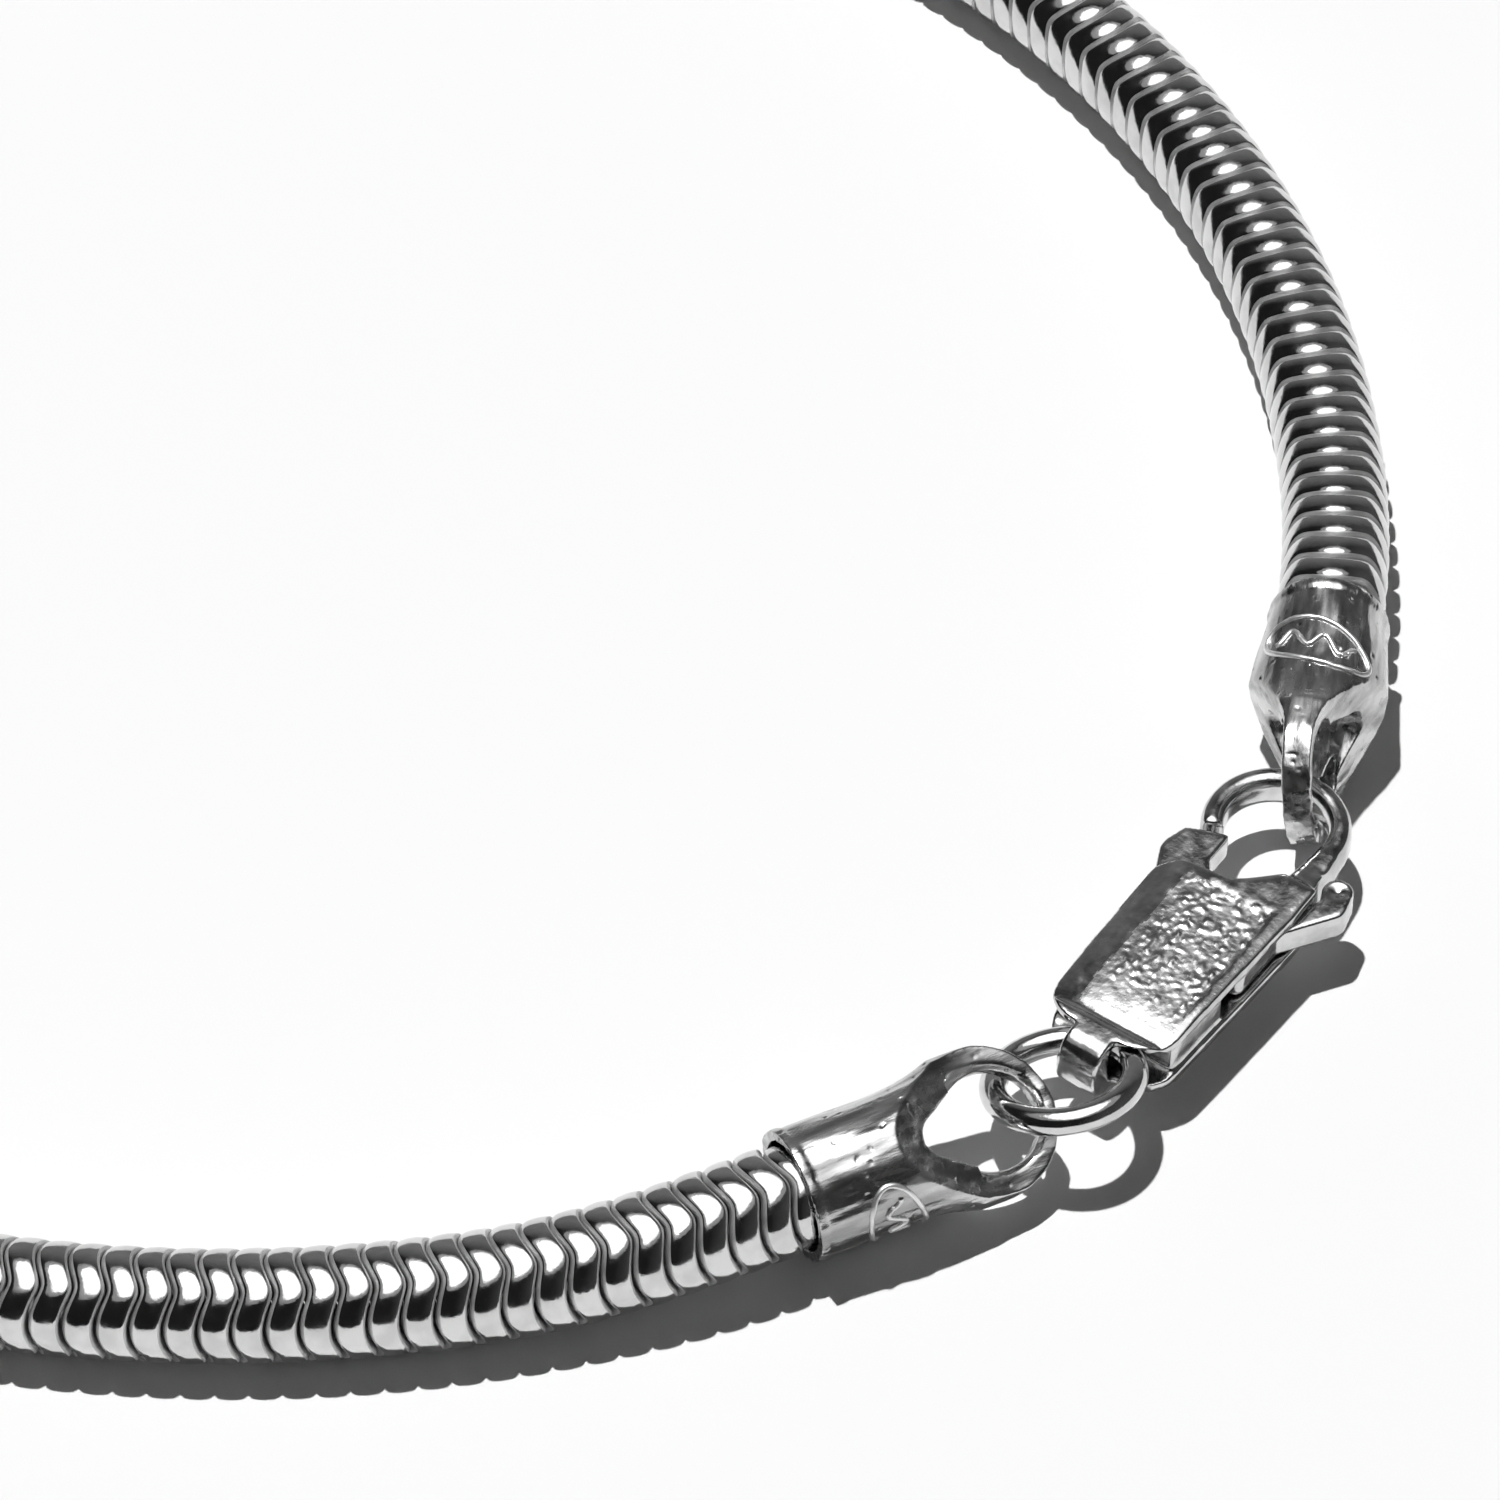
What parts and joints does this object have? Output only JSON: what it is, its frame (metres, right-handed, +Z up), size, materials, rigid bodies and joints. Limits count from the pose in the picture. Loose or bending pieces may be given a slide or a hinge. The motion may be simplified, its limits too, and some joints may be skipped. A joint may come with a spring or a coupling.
{
  "type": "snake chain bracelet",
  "caption": "Round snake chain bracelet with two eye end caps, a jump ring and a lobster clasp, closed in a flat loop.",
  "frame": {"origin": "middle of the closed loop's box, on the surface that the bracelet lies on", "axes": "+Z up, through the wrist hollow; the clasp lies at +X -Y, its hook towards +Y; the picture was taken from -Y, about 48 degrees above the surface"},
  "size_m": [0.0678, 0.0664, 0.0045],
  "materials": {
    "polished_silver": "polished, faint wear",
    "cast_silver": "cast, polished, darkened in the recesses"
  },
  "bodies": {
    "bracelet": {"snake_chain": "polished_silver", "end_cap_left": "cast_silver", "end_cap_right": "cast_silver", "jump_ring": "polished_silver", "clasp_body": "cast_silver", "pivot_pin": "cast_silver"},
    "trigger": {"clasp_trigger": "cast_silver"}
  },
  "joints": [
    {"name": "trigger_hinge", "type": "hinge", "parent": "bracelet", "child": "trigger", "pos_m": [0.02701, -0.0188, 0.00187], "axis": [0, 0, -1], "range_deg": [0, 24], "stiffness_Nm_per_rad": 0.02}
  ]
}
